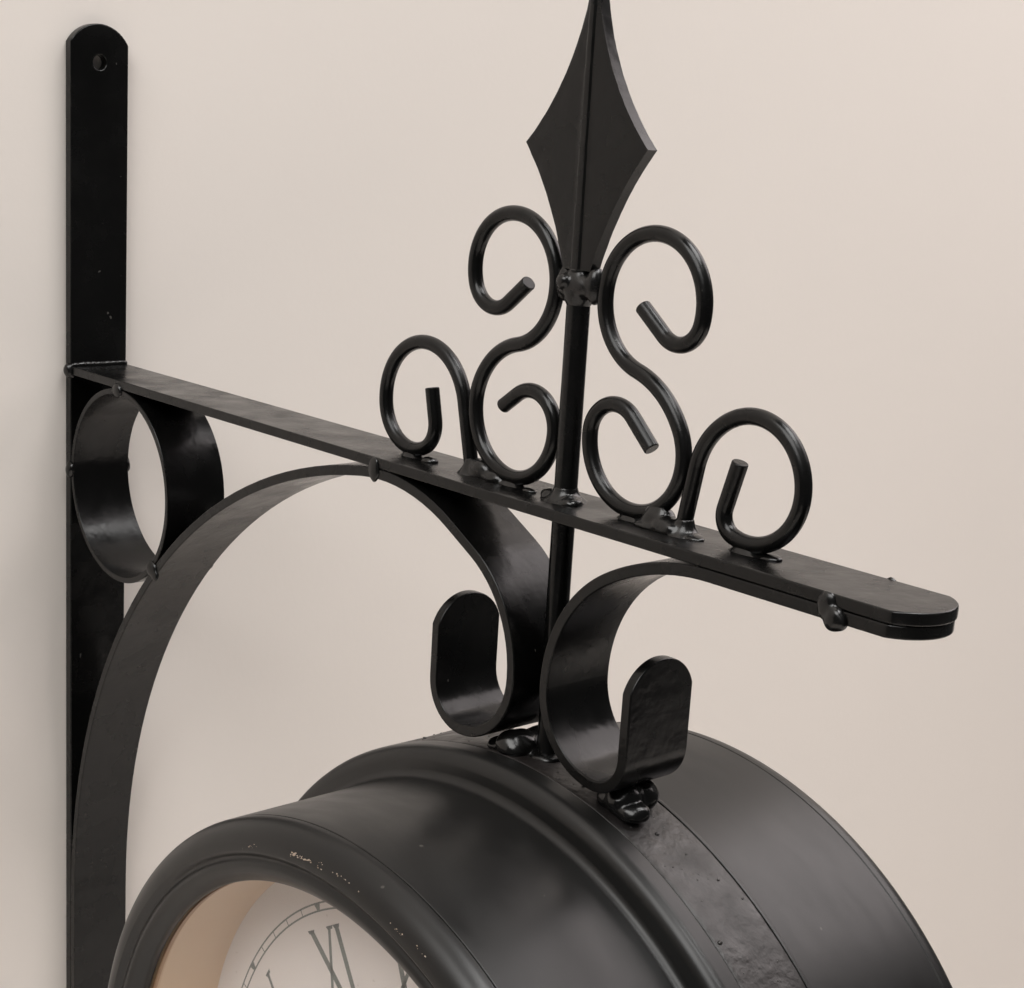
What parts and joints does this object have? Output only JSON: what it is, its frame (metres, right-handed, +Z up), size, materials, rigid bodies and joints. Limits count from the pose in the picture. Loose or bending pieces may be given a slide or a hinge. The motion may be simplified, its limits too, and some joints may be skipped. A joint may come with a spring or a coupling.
{
  "type": "double sided station clock",
  "caption": "Double sided round clock hung under a scrolled wall bracket: twin drums with glazed dials on a centre band, spearhead finial on the rod.",
  "frame": {"origin": "middle of the wall bar's back face, level with the arm's top face", "axes": "+X from the wall along the arm, +Z up, the two dials face -Y and +Y"},
  "size_m": [0.37, 0.1434, 0.4396],
  "materials": {
    "bracket_paint": "satin black over welded steel",
    "case_paint": "semi-gloss black over spun steel",
    "clear_glass": "clear",
    "gasket_rubber": "matte",
    "cream_ring": "semi-gloss tan",
    "dial_sheet": "printed matte off-white",
    "zinc_plate": "zinc",
    "movement_plastic": "moulded",
    "gear_plastic": "moulded",
    "brass_fixing": "turned",
    "battery_sleeve": "plain sleeve",
    "spring_steel": "plated",
    "coil_copper": "enamelled wire",
    "board_green": "lacquered",
    "hand_black": "black lacquer"
  },
  "bodies": {
    "bracket": {"wall_bar": "bracket_paint", "arm_bar": "bracket_paint", "drop_rod": "bracket_paint", "finial": "bracket_paint", "scroll_bridge": "bracket_paint", "arch_strip": "bracket_paint", "c_scroll_strip": "bracket_paint", "corner_ring": "bracket_paint", "left_s_scroll": "bracket_paint", "right_s_scroll": "bracket_paint", "left_outer_scroll": "bracket_paint", "right_outer_scroll": "bracket_paint", "centre_band": "bracket_paint"},
    "front_clock": {"front_drum": "case_paint", "front_bezel": "case_paint", "front_lens": "clear_glass", "front_lens_gasket": "gasket_rubber", "front_well_ring": "cream_ring", "front_dial": "dial_sheet", "front_dial_backplate": "zinc_plate", "front_movement_case": "movement_plastic", "front_movement_cover": "movement_plastic", "front_movement_washer": "gasket_rubber", "front_fixing_washer": "brass_fixing", "front_fixing_nut": "brass_fixing", "front_battery": "battery_sleeve", "front_battery_contacts": "spring_steel", "front_motor_coil": "coil_copper", "front_circuit_board": "board_green"},
    "front_minute": {"front_minute_shaft": "gear_plastic", "front_minute_hand": "hand_black", "front_hand_cap": "hand_black"},
    "front_hour": {"front_hour_tube": "gear_plastic", "front_hour_hand": "hand_black"},
    "front_setting": {"front_setting_arbor": "gear_plastic", "front_setting_knob": "gear_plastic"},
    "rear_clock": {"rear_drum": "case_paint", "rear_bezel": "case_paint", "rear_lens": "clear_glass", "rear_lens_gasket": "gasket_rubber", "rear_well_ring": "cream_ring", "rear_dial": "dial_sheet", "rear_dial_backplate": "zinc_plate", "rear_movement_case": "movement_plastic", "rear_movement_cover": "movement_plastic", "rear_movement_washer": "gasket_rubber", "rear_fixing_washer": "brass_fixing", "rear_fixing_nut": "brass_fixing", "rear_battery": "battery_sleeve", "rear_battery_contacts": "spring_steel", "rear_motor_coil": "coil_copper", "rear_circuit_board": "board_green"},
    "rear_minute": {"rear_minute_shaft": "gear_plastic", "rear_minute_hand": "hand_black", "rear_hand_cap": "hand_black"},
    "rear_hour": {"rear_hour_tube": "gear_plastic", "rear_hour_hand": "hand_black"},
    "rear_setting": {"rear_setting_arbor": "gear_plastic", "rear_setting_knob": "gear_plastic"}
  },
  "joints": [
    {"name": "front_drum_removal", "type": "slide", "parent": "bracket", "child": "front_clock", "axis": [0, -1, 0], "range_m": [0, 0.08]},
    {"name": "front_minute_spin", "type": "hinge", "parent": "front_clock", "child": "front_minute", "pos_m": [0.2485, -0.05, -0.1905], "axis": [0, 1, 0], "continuous": true},
    {"name": "front_hour_spin", "type": "hinge", "parent": "front_clock", "child": "front_hour", "pos_m": [0.2485, -0.045, -0.1905], "axis": [0, 1, 0], "continuous": true},
    {"name": "front_setting_spin", "type": "hinge", "parent": "front_clock", "child": "front_setting", "pos_m": [0.2385, -0.018, -0.1905], "axis": [0, 1, 0], "continuous": true},
    {"name": "rear_drum_removal", "type": "slide", "parent": "bracket", "child": "rear_clock", "axis": [0, 1, 0], "range_m": [0, 0.08]},
    {"name": "rear_minute_spin", "type": "hinge", "parent": "rear_clock", "child": "rear_minute", "pos_m": [0.2485, 0.05, -0.1905], "axis": [0, -1, 0], "continuous": true},
    {"name": "rear_hour_spin", "type": "hinge", "parent": "rear_clock", "child": "rear_hour", "pos_m": [0.2485, 0.045, -0.1905], "axis": [0, -1, 0], "continuous": true},
    {"name": "rear_setting_spin", "type": "hinge", "parent": "rear_clock", "child": "rear_setting", "pos_m": [0.2585, 0.018, -0.1905], "axis": [0, -1, 0], "continuous": true}
  ],
  "couplings": [
    {"joint": "front_hour_spin", "follows": "front_minute_spin", "ratio": 0.083333},
    {"joint": "front_setting_spin", "follows": "front_minute_spin", "ratio": -0.33333},
    {"joint": "rear_hour_spin", "follows": "rear_minute_spin", "ratio": 0.083333},
    {"joint": "rear_setting_spin", "follows": "rear_minute_spin", "ratio": -0.33333}
  ]
}
